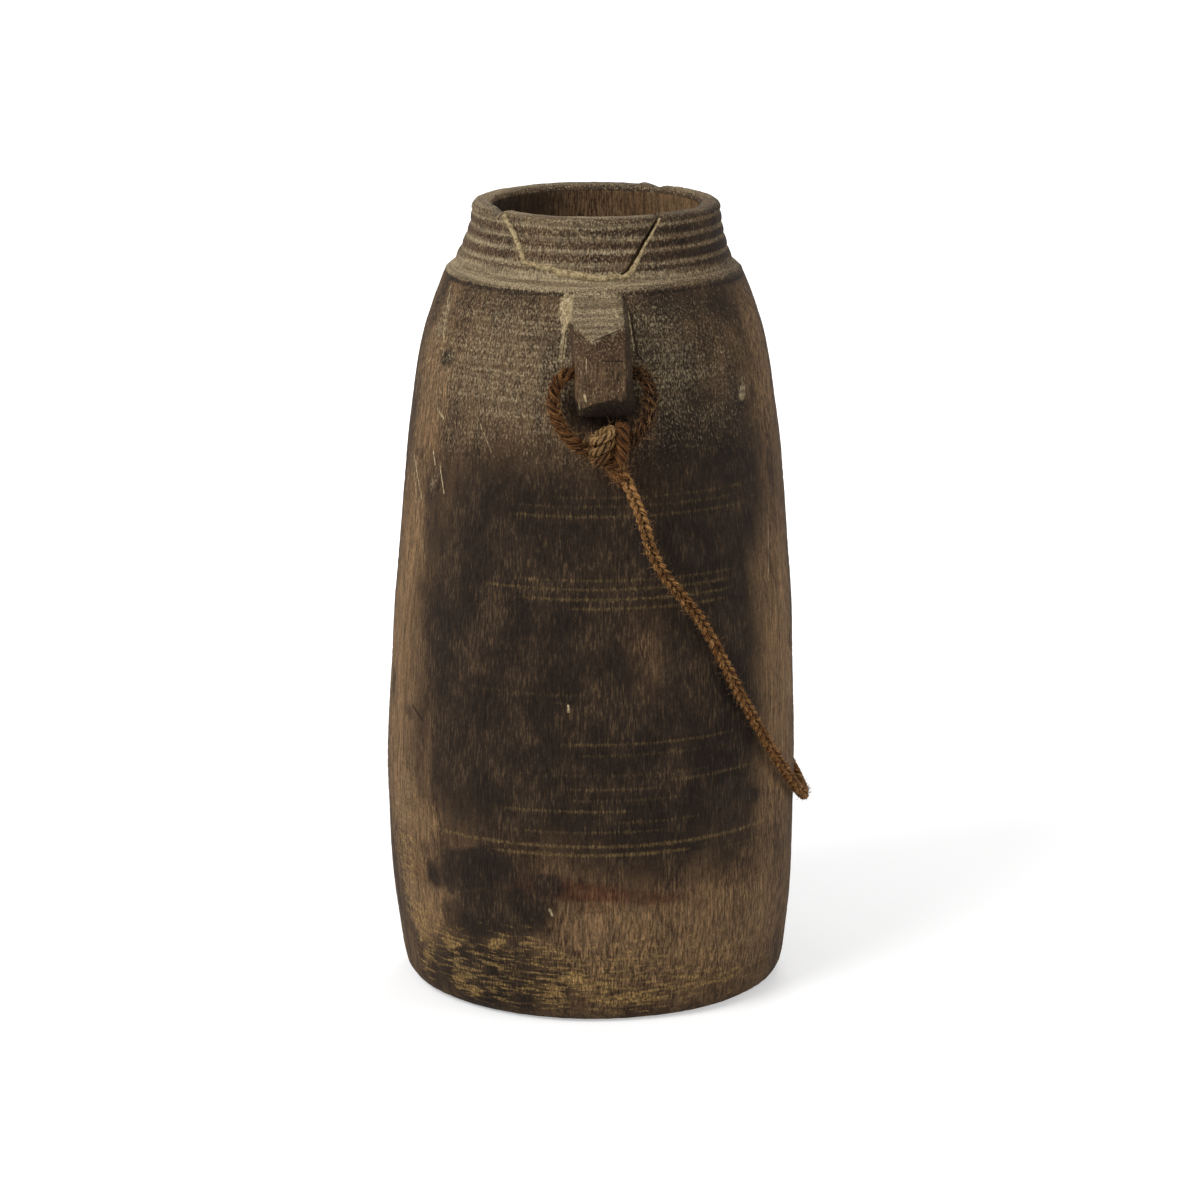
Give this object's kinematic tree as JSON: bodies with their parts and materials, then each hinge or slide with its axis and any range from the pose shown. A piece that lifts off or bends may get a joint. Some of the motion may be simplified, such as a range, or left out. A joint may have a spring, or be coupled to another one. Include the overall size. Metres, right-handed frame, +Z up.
{
  "type": "turned wooden pot with rope sling",
  "caption": "Tall turned wooden pot with a banded neck, two carved pierced lugs, a mended break in the rim and a rope sling that swings over the mouth.",
  "frame": {"origin": "middle of the flat base, on the surface the pot stands on", "axes": "+Z up along the pot's turning axis, -Y towards the front lug under the mended rim, +X towards the side where the sling hangs"},
  "size_m": [0.1971, 0.2106, 0.366],
  "materials": {
    "aged_wood": "dark weathered hardwood, dry and dusty, with smoke-black patches",
    "dry_filler": "dried sandy filler paste",
    "coir_rope": "twisted coconut-fibre rope, hairy and matt",
    "plaited_rope": "thin plaited plant-fibre rope, matt"
  },
  "bodies": {
    "pot": {"pot_body": "aged_wood", "rim_sherd": "aged_wood", "crack_filler": "dry_filler", "front_loop": "coir_rope", "front_knot": "coir_rope", "rear_loop": "coir_rope", "rear_knot": "coir_rope"},
    "sling": {"rope_sling": "plaited_rope"}
  },
  "joints": [
    {"name": "sling_swing", "type": "hinge", "parent": "pot", "child": "sling", "pos_m": [0.0015, 0, 0.268], "axis": [0, -1, 0], "range_deg": [0, 300]}
  ]
}
